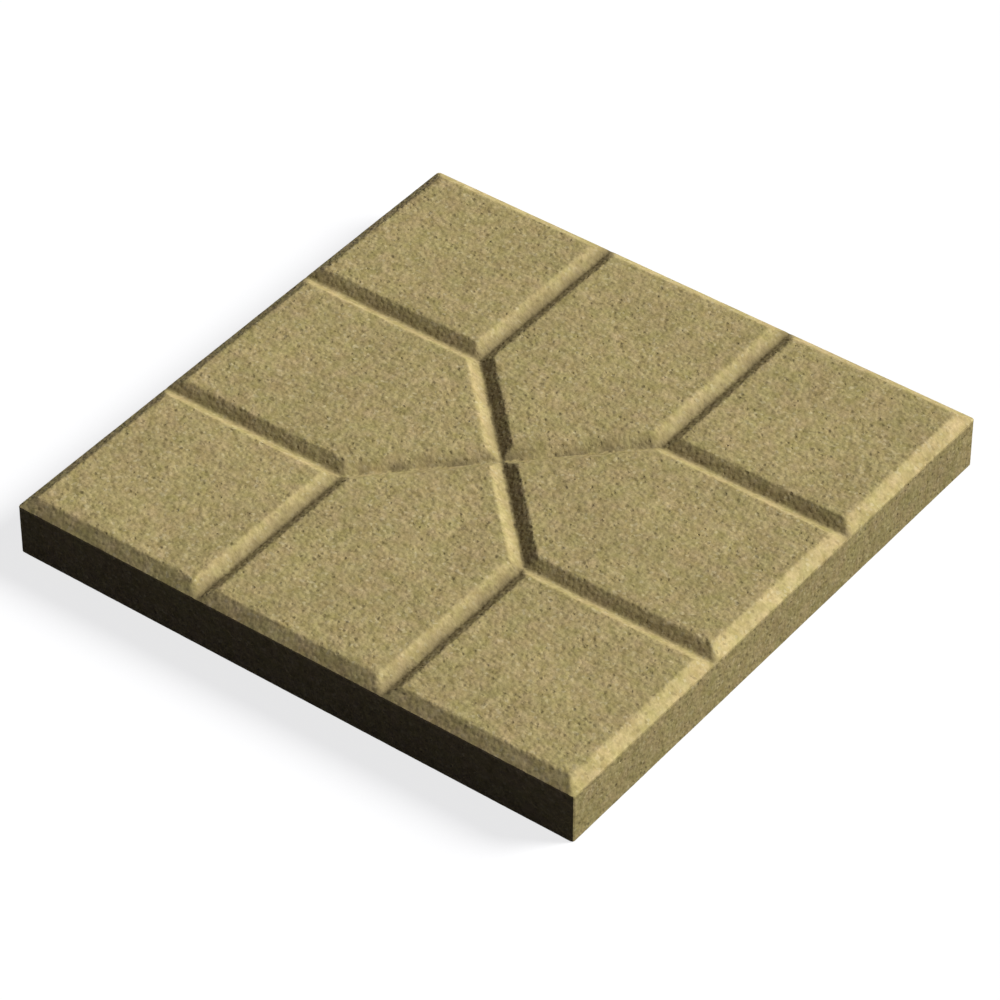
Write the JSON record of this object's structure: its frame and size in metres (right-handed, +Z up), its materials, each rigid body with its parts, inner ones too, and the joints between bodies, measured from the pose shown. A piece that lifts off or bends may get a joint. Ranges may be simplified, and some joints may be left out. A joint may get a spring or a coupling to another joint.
{
  "type": "concrete paving slab",
  "caption": "Square cast concrete paving slab with raised square and pentagonal tiles on its walking face, parted by shallow V-shaped grooves; laid flat to pave paths and patios.",
  "frame": {"origin": "centre of the underside, the face that lies in the bed", "axes": "+Z up through the thickness, out of the patterned walking face; +X and +Y square to two neighbouring sides"},
  "size_m": [0.3, 0.3, 0.03],
  "materials": {
    "concrete": "matte"
  },
  "bodies": {
    "root": {"paving_slab": "concrete"}
  },
  "joints": []
}
